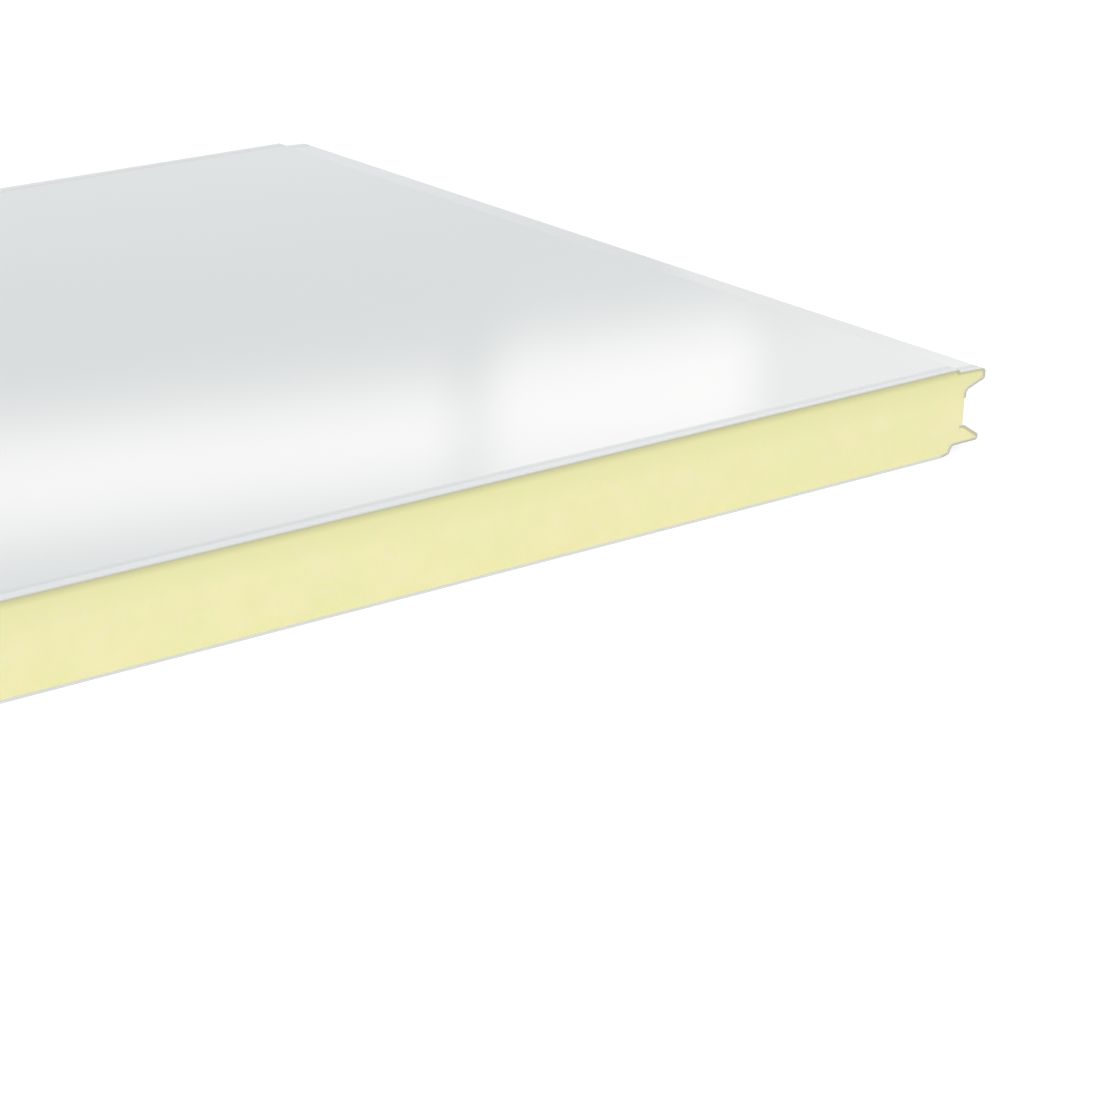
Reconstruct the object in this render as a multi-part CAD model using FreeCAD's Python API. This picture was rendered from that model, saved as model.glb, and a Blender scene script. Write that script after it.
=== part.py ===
import FreeCAD, Part
import math
import os

# Insulated sandwich panel: a rigid foam core between two folded steel sheets, with a
# tongue-and-groove joint along both long edges. Millimetres. X runs across the panel,
# Y along it and Z up through its thickness. The underside rests at Z = 0.

# ---- driving dimensions ----
cover_width = 1000.0     # from one joint line to the same line on the next panel
length = 700.0           # between the two cut ends
thickness = 60.0         # over both sheets
skin = 1.5               # thickness of each steel sheet
end_setback = 1.0        # the foam stops this far short of the sheets' cut ends
play = 1.0               # room left between a panel's joint and its neighbour's
seam = 2.5               # open joint line on the face, from the step to the next sheet

# upper lip of the joint, formed in the outer sheet
lip_drop = 2.6           # depth of the recess that the next sheet laps over
lip_reach = 27.3         # from the step to the tip
lip_fall = 0.9           # how much the top falls from the step to the tip
lip_nose = 7.4           # height of the tip
lip_lean = 0.4           # how far the tip's lower corner lies back
lip_rise = 5.4           # how much the underside climbs from root to tip
lip_return = 5.0         # stretch of sheet that turns down the foam wall

# groove between the lip and the tongue
wall_inset = 9.6         # from the step to the bare foam wall

# lower tongue of the joint, formed in the inner sheet
tongue_short = 2.4       # how far its tip stops short of the lip's
tongue_foot = 6.9        # height of the tongue's underside
tongue_nose = 4.2        # height of the tip
tongue_root = 19.5       # height of the tongue's top at the foam wall
tongue_flat = 0.9        # level stretch of that top before it slopes away
tongue_tail = 3.0        # stretch of sheet buried in the foam at the root
step_back = 0.2          # where the tongue's underside turns down, inside the joint line
step_knee = (2.8, 1.6)   # knee of that turn: distance inside the joint line, height
step_end = 11.5          # where the turn runs out into the flat underside

# outside bend radii
bend = 1.8
lip_radii = (3.4, 2.0, 3.5)      # top of the tip, foot of the tip, root
tongue_radii = (2.0, 1.8, 2.2)   # shoulder, top of the tip, foot of the tip
step_radii = (2.8, 2.4, 10.0)    # turn, knee, run-out

# ---- where the joint lines lie ----
joint_right = cover_width / 2.0
joint_left = joint_right - cover_width


# ---- 2-D paths: lists of (x, z, corner radius), with the panel on the right of travel ----
def direction(a, b):
    run = math.hypot(b[0] - a[0], b[1] - a[1])
    return (b[0] - a[0]) / run, (b[1] - a[1]) / run


def turn(u, v):
    """Sine of the turn from u to v; a turn to the right is negative."""
    return u[0] * v[1] - u[1] * v[0]


def parallel(path, inset):
    """The same path moved to the right by inset, with its radii kept concentric."""
    dirs = [direction(a, b) for a, b in zip(path, path[1:])]
    moved = []
    for i, (x, z, radius) in enumerate(path):
        u = dirs[max(i - 1, 0)]
        v = dirs[min(i, len(dirs) - 1)]
        share = 1.0 + u[0] * v[0] + u[1] * v[1]
        nx = (u[1] + v[1]) / share
        nz = -(u[0] + v[0]) / share
        grow = math.copysign(1.0, turn(u, v)) * inset if radius else 0.0
        moved.append((x + inset * nx, z + inset * nz, radius + grow))
    return moved


def shifted(path, dx):
    return [(x + dx, z, radius) for x, z, radius in path]


def along(a, b, z):
    """The x at which the straight line through a and b reaches the height z."""
    return a[0] + (b[0] - a[0]) * (z - a[1]) / (b[1] - a[1])


def level(a, b, x):
    """The z at which the straight line through a and b reaches x."""
    return a[1] + (b[1] - a[1]) * (x - a[0]) / (b[0] - a[0])


def rounded(path):
    """Straight runs joined by tangent arcs along a path."""
    edges = []
    start = (path[0][0], path[0][1])
    for before, corner, after in zip(path, path[1:], path[2:]):
        x, z, radius = corner
        u = direction(before, corner)
        v = direction(corner, after)
        if radius == 0.0:
            edges.append(segment(start, (x, z)))
            start = (x, z)
            continue
        angle = math.atan2(turn(u, v), u[0] * v[0] + u[1] * v[1])
        reach = radius * math.tan(abs(angle) / 2.0)
        enter = (x - reach * u[0], z - reach * u[1])
        leave = (x + reach * v[0], z + reach * v[1])
        bulge = radius / math.cos(angle / 2.0) - radius
        inward = direction((0.0, 0.0), (v[0] - u[0], v[1] - u[1]))
        middle = (x + bulge * inward[0], z + bulge * inward[1])
        edges.append(segment(start, enter))
        edges.append(Part.Arc(point(enter), point(middle), point(leave)).toShape())
        start = leave
    edges.append(segment(start, path[-1]))
    return edges


def point(p):
    return FreeCAD.Vector(p[0], 0.0, p[1])


def segment(a, b):
    return Part.makeLine(point(a), point(b))


def closed_face(path):
    """The area inside a path that comes back to its own start."""
    return Part.Face(Part.Wire(Part.__sortEdges__(rounded(path + [path[0]]))))


def sheet_face(path):
    """The cut end of one folded sheet whose outer surface follows the path."""
    outside = rounded(path)
    inside_path = parallel(path, skin)
    inside = rounded(inside_path)
    caps = [segment(path[0], inside_path[0]), segment(path[-1], inside_path[-1])]
    return Part.Face(Part.Wire(Part.__sortEdges__(outside + inside + caps)))


def extruded(face, run):
    solid = face.extrude(FreeCAD.Vector(0.0, run, 0.0))
    solid.translate(FreeCAD.Vector(0.0, -run / 2.0, 0.0))
    return solid


# ---- joint profile, measured from the joint line ----
lip_top = thickness - lip_drop
lip_corner = lip_top - lip_fall
lip_foot = lip_corner - lip_nose
lip_root = lip_foot - lip_rise
tongue_reach = lip_reach - tongue_short

lip = [
    (-lip_drop / 4.0, thickness, bend),
    (lip_drop * 3.0 / 4.0, lip_top, bend),
    (lip_reach, lip_corner, lip_radii[0]),
    (lip_reach - lip_lean, lip_foot, lip_radii[1]),
    (wall_inset, lip_root, lip_radii[2]),
    (wall_inset, lip_root - lip_return, 0.0),
]
tongue = [
    (wall_inset, tongue_root, 0.0),
    (wall_inset + tongue_flat, tongue_root, tongue_radii[0]),
    (tongue_reach, tongue_foot + tongue_nose, tongue_radii[1]),
    (tongue_reach, tongue_foot, tongue_radii[2]),
    (-step_back, tongue_foot, step_radii[0]),
    (-step_knee[0], step_knee[1], step_radii[1]),
    (-step_end, 0.0, step_radii[2]),
]
tail = (wall_inset - tongue_tail, tongue_root, 0.0)

# ---- the same joint on the far edge: the neighbour's profile with the play all round ----
lip_room = parallel(lip, -play)
tongue_room = parallel(tongue, -play)
nose = wall_inset + play
pocket_top = (along(lip_room[2], lip_room[3], thickness), thickness, 0.0)
pocket = [
    (nose, lip_room[4][1], lip_room[4][2]),
    lip_room[3],
    pocket_top,
]
heel = (along(tongue_room[5], tongue_room[4], 0.0), 0.0, bend)
nose_foot = level(tongue_room[2], tongue_room[1], nose)
slot = [
    heel,
    tongue_room[4],
    tongue_room[3],
    tongue_room[2],
    (nose, nose_foot, bend),
    (nose, nose_foot + lip_return, 0.0),
]

# ---- the two sheets and the foam between them ----
flange_end = (joint_left + seam, thickness, 0.0)
outer_path = [flange_end] + shifted(lip, joint_right)
inner_path = shifted(tongue[1:], joint_right) + shifted(slot, joint_left)
outline = shifted(lip + tongue, joint_right) + shifted(slot + pocket, joint_left)

outer_face = sheet_face(outer_path)
inner_face = sheet_face([shifted([tail], joint_right)[0]] + inner_path)
foam_face = closed_face([outline[-1]] + outline[:-1]).cut(outer_face).cut(inner_face)

parts = {
    "outer_sheet": extruded(outer_face, length),
    "foam_core": extruded(foam_face, length - 2.0 * end_setback),
    "inner_sheet": extruded(inner_face, length),
}

# the whole panel is centred over the origin
box = FreeCAD.BoundBox()
for shape in parts.values():
    box.add(shape.BoundBox)
centring = FreeCAD.Vector(-box.Center.x, -box.Center.y, -box.ZMin)

os.makedirs("parts", exist_ok=True)
for name, shape in parts.items():
    solid = shape.Solids[0]
    solid.translate(centring)
    print(name, len(shape.Solids), solid.isValid(), round(solid.Volume / 1000.0, 1), solid.BoundBox)
    solid.exportStep("parts/" + name + ".step")
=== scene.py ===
import math
from functools import cached_property

import bmesh
import bpy
from mathutils import Matrix, Vector

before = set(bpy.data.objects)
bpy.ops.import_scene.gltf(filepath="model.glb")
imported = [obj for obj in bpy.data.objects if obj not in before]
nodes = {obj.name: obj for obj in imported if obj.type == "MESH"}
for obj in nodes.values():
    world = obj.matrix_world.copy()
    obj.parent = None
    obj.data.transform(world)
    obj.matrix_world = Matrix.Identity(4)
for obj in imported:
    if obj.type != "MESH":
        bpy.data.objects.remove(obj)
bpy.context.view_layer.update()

scene = bpy.context.scene

# An insulated sandwich panel, lying flat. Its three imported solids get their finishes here, and a
# studio is built round them.

# ---- the panel's own sizes, in metres, as in its source ----
SKIN = 0.0015
THICKNESS = 0.060
HALF_LENGTH = 0.350
FACE_MIDDLE = -0.013077  # halfway between the two joint lines
OUTER_FLAT_HALF = 0.5005  # from there to where the outer sheet starts to fold
INNER_FLAT_HALF = 0.4900  # the same for the inner sheet

WHITE = (1.0, 1.0, 1.0)
BLACK = (0.0, 0.0, 0.0)


# ---- shader expressions ----
# a Mix node's sockets when it mixes colours
MIX_SHARE, MIX_COLOUR, MIX_OTHER, MIX_RESULT = 0, 6, 7, 2


class Sock:
    """A shader socket that takes arithmetic."""

    def __init__(self, finish, out):
        self.finish = finish
        self.out = out

    def __add__(self, other):
        return self.finish.number("ADD", self, other)

    def __radd__(self, other):
        return self.finish.number("ADD", other, self)

    def __sub__(self, other):
        return self.finish.number("SUBTRACT", self, other)

    def __rsub__(self, other):
        return self.finish.number("SUBTRACT", other, self)

    def __mul__(self, other):
        return self.finish.number("MULTIPLY", self, other)

    def __rmul__(self, other):
        return self.finish.number("MULTIPLY", other, self)

    def __abs__(self):
        return self.finish.number("ABSOLUTE", self)


class Outputs:
    """The outputs of one node, by name."""

    def __init__(self, finish, made):
        self.finish = finish
        self.made = made

    def __getitem__(self, name):
        return Sock(self.finish, self.made.outputs[name])


class Finish:
    """A material, or the world, built from nodes."""

    def __init__(self, data):
        data.use_nodes = True
        self.data = data
        self.tree = data.node_tree
        self.tree.nodes.clear()

    def node(self, kind, settings, values):
        """Any node: its type, its settings, and the values or links of its sockets."""
        made = self.tree.nodes.new(kind)
        for key, value in settings.items():
            setattr(made, key, value)
        for key, value in values.items():
            socket = made.inputs[key]
            if isinstance(value, Sock):
                self.tree.links.new(value.out, socket)
            elif socket.type == "RGBA":
                socket.default_value = (*value, 1.0)
            else:
                socket.default_value = value
        return Outputs(self, made)

    @cached_property
    def place(self):
        """Where a point lies on its piece, in metres."""
        return self.node("ShaderNodeTexCoord", {}, {})["Object"]

    def number(self, operation, *values):
        """One step of arithmetic."""
        sockets = dict(enumerate(values))
        return self.node("ShaderNodeMath", {"operation": operation}, sockets)["Value"]

    def noise(self, scale, detail, rough=0.5):
        """Soft noise around 0.5, with so many bumps to the metre."""
        values = {"Vector": self.place, "Scale": scale, "Detail": detail, "Roughness": rough}
        return self.node("ShaderNodeTexNoise", {}, values)["Fac"]

    def between(self, value, low, high, kind="SMOOTHSTEP"):
        """0 below low, 1 above high."""
        values = {"Value": value, "From Min": low, "From Max": high}
        return self.node("ShaderNodeMapRange", {"interpolation_type": kind}, values)["Result"]

    def mix(self, share, colour, other):
        """The colour, with a share of the other one in it."""
        values = {MIX_SHARE: share, MIX_COLOUR: colour, MIX_OTHER: other}
        return self.node("ShaderNodeMix", {"data_type": "RGBA"}, values)[MIX_RESULT]

    def add(self, colour, other):
        """Two colours, one on top of the other."""
        values = {0: colour, 1: other}
        return self.node("ShaderNodeVectorMath", {"operation": "ADD"}, values)["Vector"]

    def length(self, x, z):
        """How long the vector with these two parts is."""
        vector = self.node("ShaderNodeCombineXYZ", {}, {"X": x, "Z": z})["Vector"]
        return self.node("ShaderNodeVectorMath", {"operation": "LENGTH"}, {0: vector})["Value"]

    def parts(self, vector):
        """A vector's three parts, as ["X"], ["Y"] and ["Z"]."""
        return self.node("ShaderNodeSeparateXYZ", {}, {"Vector": vector})

    def bump(self, height, distance, strength):
        values = {"Height": height, "Distance": distance, "Strength": strength}
        return self.node("ShaderNodeBump", {}, values)["Normal"]

    def backdrop_ray(self):
        """1 for what the camera sees, by itself or in gloss or glass, otherwise 0."""
        path = self.node("ShaderNodeLightPath", {}, {})
        seen = path["Is Camera Ray"] + path["Is Glossy Ray"] + path["Is Transmission Ray"]
        return self.number("MINIMUM", seen, 1.0)

    def blend(self, share, shader, other):
        """The shader, with a share of the other one in it."""
        return self.node("ShaderNodeMixShader", {}, {0: share, 1: shader, 2: other})["Shader"]

    def output(self, shader, kind="ShaderNodeOutputMaterial"):
        """The finished material or world, from its last shader."""
        self.node(kind, {}, {"Surface": shader})
        return self.data

    def surface(self, **values):
        """The finished material of a piece, from the values of its Principled shader."""
        named = {key.replace("_", " "): value for key, value in values.items()}
        return self.output(self.node("ShaderNodeBsdfPrincipled", {}, named)["BSDF"])


# ---- painted steel ----
PAINT = (0.690, 0.722, 0.730)
PAINT_DEEP = tuple(0.97 * part for part in PAINT)
# the next two colours are painted light and painted shade: a paler strip along each cut end, and a
# darker line at its inner edge
STRIP_PAINTED_LIGHT = (0.80, 0.82, 0.825)
SCORE_PAINTED_SHADE = (0.50, 0.53, 0.55)
# the next three colours paint light and shade on the cut face: paler away from the foam, darker
# where it meets the foam and where the sheet folds into the joint
EDGE_LIT = (0.72, 0.74, 0.745)
EDGE_SHADED = (0.50, 0.51, 0.43)
EDGE_FOLD_SHADE = (0.56, 0.56, 0.43)

# how much of each colour shows
DEEP_SHARE = 0.5
STRIP_LIGHT_SHARE = 0.7
SCORE_SHADE_SHARE = 0.25

# roughness of the sound paint, and what is added to it
GLOSS = 0.10
GLOSS_WANDER = 0.02
WORN_DULL = 0.30
SCORE_DULL = 0.20
CUT_DULL = 0.35
PAINT_SPECULAR = 0.5

# noises: bumps to the metre, detail
TONE_NOISE = (3.0, 2.0)
GLOSS_NOISE = (18.0, 3.0)
STRAY_NOISE = (14.0, 2.0)
PEEL_NOISE = (260.0, 2.0)
PEEL_DEPTH = 0.000005
PEEL_STRENGTH = 0.2

# the strip dulled by wear along a cut end, painted paler as painted light, in metres
STRIP_WIDE = 0.0078
STRIP_NARROW = 0.0055
NARROWS = (0.05, 0.38)  # where along X it goes from wide to narrow
STRIP_STRAY = 0.0006  # how far its inner line strays
STRIP_FADE = 0.0030
LINE_PAST = 0.0006  # the scored line, darkened as painted shade, from the strip's inner line
LINE_FADE = (0.0008, 0.0038)

CUT_FACING = (0.7, 0.9)  # how squarely a face looks along Y before it counts as cut
FOLD_FADE = 0.001
FOOT_FADE = (0.0012, 0.0016)  # heights over which the underside's cut gives way


def painted_sheet(name, flat_half):
    """Coil-coated steel: gloss paint; a strip dulled by wear along each cut end, painted paler as
    painted light, with a scored line of painted shade at its inner edge; and the bare cut itself,
    paler away from the foam and darker where it meets the foam as painted light and shade, and
    darker again as painted shade where the sheet folds into the joint."""
    m = Finish(bpy.data.materials.new(name))
    at = m.parts(m.place)
    facing = m.parts(m.node("ShaderNodeNewGeometry", {}, {})["Normal"])
    cut = m.between(abs(facing["Y"]), *CUT_FACING)

    # past is how far a point lies inward of the inner line of the strip dulled by wear, which is
    # painted paler as painted light
    width = STRIP_WIDE + (STRIP_NARROW - STRIP_WIDE) * m.between(at["X"], *NARROWS)
    past = HALF_LENGTH - abs(at["Y"]) - width - STRIP_STRAY * m.noise(*STRAY_NOISE)
    worn_and_lit_strip = 1.0 - m.between(past, -STRIP_FADE, 0.0)
    score_line_and_shade = 1.0 - m.between(abs(past - LINE_PAST), *LINE_FADE)

    colour = m.mix(m.noise(*TONE_NOISE) * DEEP_SHARE, PAINT, PAINT_DEEP)
    # painted light and shade: the strip dulled by wear is painted paler, and the scored line at
    # its inner edge darker
    colour = m.mix(worn_and_lit_strip * STRIP_LIGHT_SHARE, colour, STRIP_PAINTED_LIGHT)
    colour = m.mix(score_line_and_shade * SCORE_SHADE_SHARE, colour, SCORE_PAINTED_SHADE)

    # painted light and shade on the cut: paler away from the foam, darker where it meets the foam,
    # darker again where the sheet folds into the joint
    top = m.between(at["Z"], THICKNESS - SKIN, THICKNESS, "LINEAR")
    foot = 1.0 - m.between(at["Z"], *FOOT_FADE)
    folded = m.between(abs(at["X"] - FACE_MIDDLE), flat_half, flat_half + FOLD_FADE)
    edge = m.mix(top, EDGE_SHADED, EDGE_LIT)
    edge = m.mix(foot, edge, EDGE_LIT)
    edge = m.mix(folded, edge, EDGE_FOLD_SHADE)
    colour = m.mix(cut, colour, edge)

    rough = GLOSS + GLOSS_WANDER * m.noise(*GLOSS_NOISE)
    rough = rough + WORN_DULL * worn_and_lit_strip + SCORE_DULL * score_line_and_shade + CUT_DULL * cut
    return m.surface(
        Base_Color=colour,
        Roughness=rough,
        Normal=m.bump(m.noise(*PEEL_NOISE), PEEL_DEPTH, PEEL_STRENGTH),
        Specular_IOR_Level=PAINT_SPECULAR,
    )


# ---- rigid foam ----
FOAM = (0.880, 0.832, 0.466)
FOAM_LIGHT = (0.896, 0.850, 0.492)
FOAM_PALE = (0.880, 0.850, 0.530)
FOAM_GREEN = (0.850, 0.858, 0.458)
# the next two colours are painted shade: the foam darker under the outer sheet
FOAM_SHADE_NEAR_SKIN = (0.80, 0.79, 0.413)
FOAM_SHADE_AT_SKIN = (0.62, 0.605, 0.34)

# noises: bumps to the metre, detail, roughness
MOTTLE_NOISE = (45.0, 4.0, 0.6)
TINT_NOISE = (28.0, 3.0, 0.6)
GRAIN_NOISE = (150.0, 2.0)
CELL_NOISE = (900.0, 2.0)
CELL_DEPTH = 0.0002
CELL_STRENGTH = 0.5

# where in its noise each colour comes in, and how much of it shows
MOTTLE_RANGE = (0.35, 0.65)
GRAIN_RANGE = (0.52, 0.72)
GRAIN_SHARE = 0.8
TINT_RANGE = (0.42, 0.58)
TINT_SHARE = 0.5

# how deep under the outer sheet the painted shade on the foam reaches, in metres
NEAR_SKIN_SHADE_DEPTH = (0.0, 0.022)
SKIN_SHADE_DEPTH = (-0.0005, 0.0060)

FOAM_ROUGH = 0.85
FOAM_ROUGH_WANDER = 0.1
FOAM_SPECULAR = 0.25


def cut_foam(name):
    """Rigid foam with a fine open cell, darker towards the sheet over it as painted shade."""
    m = Finish(bpy.data.materials.new(name))
    mottle = m.noise(*MOTTLE_NOISE)
    grain = m.between(m.noise(*GRAIN_NOISE), *GRAIN_RANGE)
    tint = m.between(m.noise(*TINT_NOISE), *TINT_RANGE)
    colour = m.mix(m.between(mottle, *MOTTLE_RANGE), FOAM, FOAM_LIGHT)
    colour = m.mix(grain * GRAIN_SHARE, colour, FOAM_PALE)
    colour = m.mix(tint * TINT_SHARE, colour, FOAM_GREEN)

    depth = THICKNESS - SKIN - m.parts(m.place)["Z"]
    # painted shade: darker towards the outer sheet over the foam
    colour = m.mix(m.between(depth, *NEAR_SKIN_SHADE_DEPTH, "LINEAR"), FOAM_SHADE_NEAR_SKIN, colour)
    colour = m.mix(m.between(depth, *SKIN_SHADE_DEPTH), FOAM_SHADE_AT_SKIN, colour)
    return m.surface(
        Base_Color=colour,
        Roughness=FOAM_ROUGH + FOAM_ROUGH_WANDER * mottle,
        Normal=m.bump(m.noise(*CELL_NOISE), CELL_DEPTH, CELL_STRENGTH),
        Specular_IOR_Level=FOAM_SPECULAR,
    )


def dress(node_name, material):
    """A new material on one CAD node."""
    materials = nodes[node_name].data.materials
    materials.clear()
    materials.append(material)


dress("outer_sheet", painted_sheet("outer_paint", OUTER_FLAT_HALF))
dress("inner_sheet", painted_sheet("inner_paint", INNER_FLAT_HALF))
dress("foam_core", cut_foam("cut_foam"))


# ---- floor and world ----
FLOOR_HALF = 15.0
FLOOR_MATT = (0.80, 0.80, 0.80)  # what lights the panel from below
FLOOR_SEEN = (0.45, 0.45, 0.45)  # what the camera sees, with a shadow in it
FLOOR_LIFT = 0.72  # and what raises that to plain white
SKY = 0.62


def stage_plane(name, corner, along, across, material):
    """A flat rectangle of the studio, from one corner and its two sides."""
    mesh = bpy.data.meshes.new(name)
    shape = bmesh.new()
    ends = [shape.verts.new(corner), shape.verts.new(Vector(corner) + Vector(along))]
    edge = shape.edges.new(ends)
    swept = bmesh.ops.extrude_edge_only(shape, edges=[edge])["geom"]
    moved = [piece for piece in swept if isinstance(piece, bmesh.types.BMVert)]
    bmesh.ops.translate(shape, verts=moved, vec=across)
    shape.to_mesh(mesh)
    shape.free()
    mesh.materials.append(material)
    plane = bpy.data.objects.new(name, mesh)
    scene.collection.objects.link(plane)
    return plane


def pale_floor():
    """A pale matt floor that reads as plain white where no shadow falls."""
    m = Finish(bpy.data.materials.new("pale_floor"))
    matt = m.node("ShaderNodeBsdfDiffuse", {}, {"Color": FLOOR_MATT})["BSDF"]
    shadowed = m.node("ShaderNodeBsdfDiffuse", {}, {"Color": FLOOR_SEEN})["BSDF"]
    glow = {"Color": WHITE, "Strength": FLOOR_LIFT}
    lift = m.node("ShaderNodeEmission", {}, glow)["Emission"]
    seen = m.node("ShaderNodeAddShader", {}, {0: shadowed, 1: lift})["Shader"]
    return m.output(m.blend(m.backdrop_ray(), matt, seen))


def studio_sky():
    """Even light all round, in front of a plain white backdrop."""
    m = Finish(bpy.data.worlds.new("studio"))
    sky, backdrop = (
        m.node("ShaderNodeBackground", {}, {"Color": WHITE, "Strength": level})["Background"]
        for level in (SKY, 1.0)
    )
    return m.output(m.blend(m.backdrop_ray(), sky, backdrop), "ShaderNodeOutputWorld")


stage_plane(
    "floor",
    (-FLOOR_HALF, -FLOOR_HALF, 0.0),
    (2.0 * FLOOR_HALF, 0.0, 0.0),
    (0.0, 2.0 * FLOOR_HALF, 0.0),
    pale_floor(),
)
scene.world = studio_sky()

# ---- light bank ----
BANK_CORNER = (-1.5, 0.6, 0.1)
BANK_WIDTH = 5.0
BANK_HEIGHT = 1.0
# Each window: left and right along X, low and high along Z at its middle, rise to the metre,
# corner radius, softness of its outline, and its glow over the backdrop's white.
WINDOWS = (
    (-1.500, 3.500, -0.3000, 0.2000, 0.000, 0.050, 0.060, (0.12, 0.12, 0.12)),
    (0.930, 3.500, 0.4080, 1.6000, 0.020, 0.050, 0.050, (0.58, 0.53, 0.51)),
    (0.280, 0.930, 0.3628, 0.4688, 0.084, 0.050, 0.050, (0.30, 0.27, 0.26)),
    (0.280, 0.920, 0.3678, 0.4668, 0.084, 0.050, 0.042, (1.14, 1.04, 1.00)),
    (0.950, 1.308, 0.3800, 0.5080, 0.080, 0.060, 0.042, (0.80, 0.73, 0.70)),
    (1.200, 1.700, 0.2900, 0.3700, 0.320, 0.035, 0.030, (0.34, 0.32, 0.31)),
)
# the rays that don't meet the bank: only mirror rays do
HIDDEN_FROM = ("camera", "diffuse", "shadow", "transmission", "volume_scatter")


def bank_windows():
    """Soft windows with round corners, on a card that glows like the backdrop."""
    m = Finish(bpy.data.materials.new("light_bank"))
    at = m.parts(m.place)
    glow = WHITE
    for left, right, low, high, rise, corner, soft, colour in WINDOWS:
        along = at["X"] - (left + right) / 2.0
        up = at["Z"] - rise * along - (low + high) / 2.0
        out_x = m.number("MAXIMUM", abs(along) - ((right - left) / 2.0 - corner), 0.0)
        out_z = m.number("MAXIMUM", abs(up) - ((high - low) / 2.0 - corner), 0.0)
        outside = m.length(out_x, out_z) - corner
        inside = 1.0 - m.between(outside, -soft, soft)
        glow = m.add(glow, m.mix(inside, BLACK, colour))
    lit = m.node("ShaderNodeEmission", {}, {"Color": glow, "Strength": 1.0})
    return m.output(lit["Emission"])


bank = stage_plane(
    "light_bank",
    BANK_CORNER,
    (BANK_WIDTH, 0.0, 0.0),
    (0.0, 0.0, BANK_HEIGHT),
    bank_windows(),
)
for kind in HIDDEN_FROM:
    setattr(bank, "visible_" + kind, False)

# ---- lamps ----
# name, place, aim, width and height in metres, power in watts
SOFTBOXES = (
    ("front_box", (-0.2, -3.8, 2.1), (0.1, -0.3, 0.0), (2.6, 1.7), 67.0),
    ("back_box", (1.8, 4.4, 2.2), (-0.1, 0.3, 0.0), (2.6, 1.7), 73.0),
)


def softbox(name, place, aim, size, power):
    """A large soft lamp that neither the camera nor a mirror ray meets."""
    light = bpy.data.lights.new(name, "AREA")
    light.shape = "RECTANGLE"
    light.size, light.size_y = size
    light.energy = power
    lamp = bpy.data.objects.new(name, light)
    scene.collection.objects.link(lamp)
    lamp.location = place
    lamp.rotation_euler = (Vector(aim) - Vector(place)).to_track_quat("-Z", "Y").to_euler()
    lamp.visible_camera = False
    lamp.visible_glossy = False


for box in SOFTBOXES:
    softbox(*box)

# ---- camera ----
SPOT = (-1.5072, -2.0392, 0.8340)
TURN = -44.005  # degrees about Z
DOWN = 19.403  # degrees below level
ROLL = 3.282
LENS = 135.303  # mm
SENSOR = 36.0
NEAREST = 0.05
FARTHEST = 100.0

lens = bpy.data.cameras.new("camera")
lens.lens = LENS
lens.sensor_width = SENSOR
lens.clip_start = NEAREST
lens.clip_end = FARTHEST
camera = bpy.data.objects.new("camera", lens)
scene.collection.objects.link(camera)
camera.matrix_world = (
    Matrix.Translation(SPOT)
    @ Matrix.Rotation(math.radians(TURN), 4, "Z")
    @ Matrix.Rotation(math.radians(90.0 - DOWN), 4, "X")
    @ Matrix.Rotation(math.radians(ROLL), 4, "Z")
)
scene.camera = camera
scene.view_settings.view_transform = "Standard"
